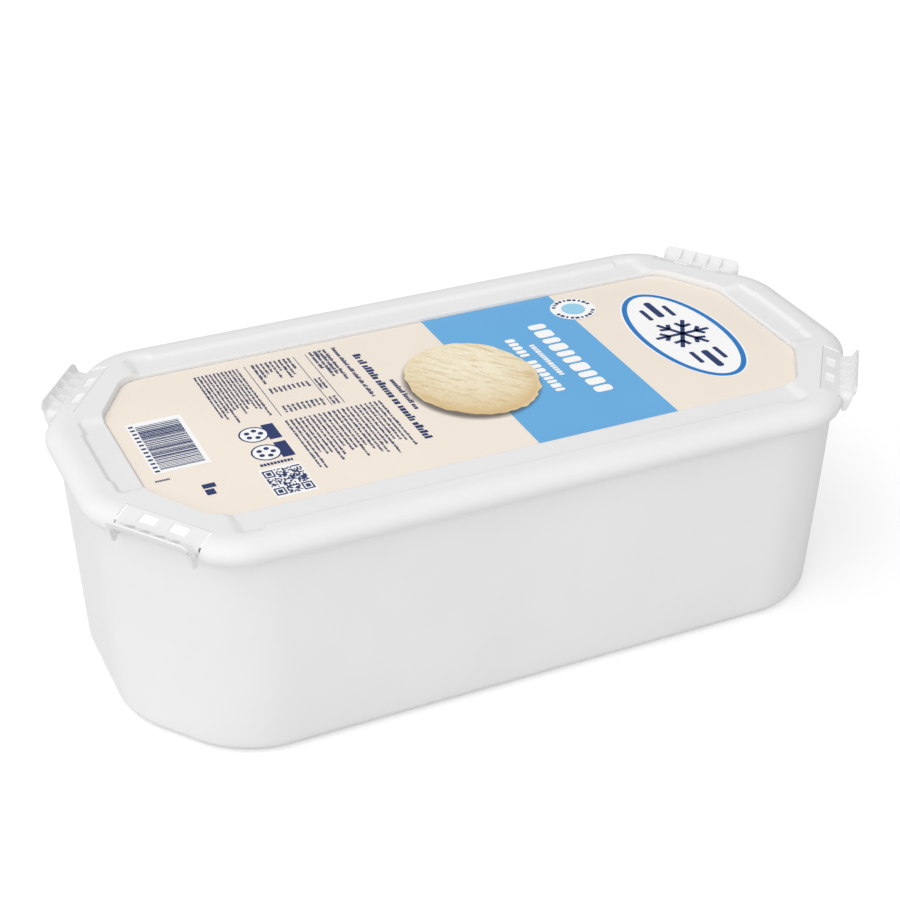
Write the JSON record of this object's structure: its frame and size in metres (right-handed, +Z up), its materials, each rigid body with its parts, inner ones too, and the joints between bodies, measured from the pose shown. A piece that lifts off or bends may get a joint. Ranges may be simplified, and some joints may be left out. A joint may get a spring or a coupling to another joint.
{
  "type": "ice cream tub",
  "caption": "Long rectangular plastic tub with rounded corners and a clip-down lid, shut and full, with a recessed label and hinged corner clips.",
  "frame": {"origin": "middle of the base, on the surface that the tub stands on", "axes": "+X along the tub, +Y across it, +Z up"},
  "size_m": [0.351, 0.1764, 0.1089],
  "materials": {
    "tub_plastic": "white polypropylene, satin, slightly translucent",
    "lid_plastic": "white polypropylene, satin, a little glossier than the tub",
    "label_film": "printed in-mould label, cream ground with a blue field, satin"
  },
  "bodies": {
    "root": {"tub": "tub_plastic", "lid": "lid_plastic", "label": "label_film"}
  },
  "joints": []
}
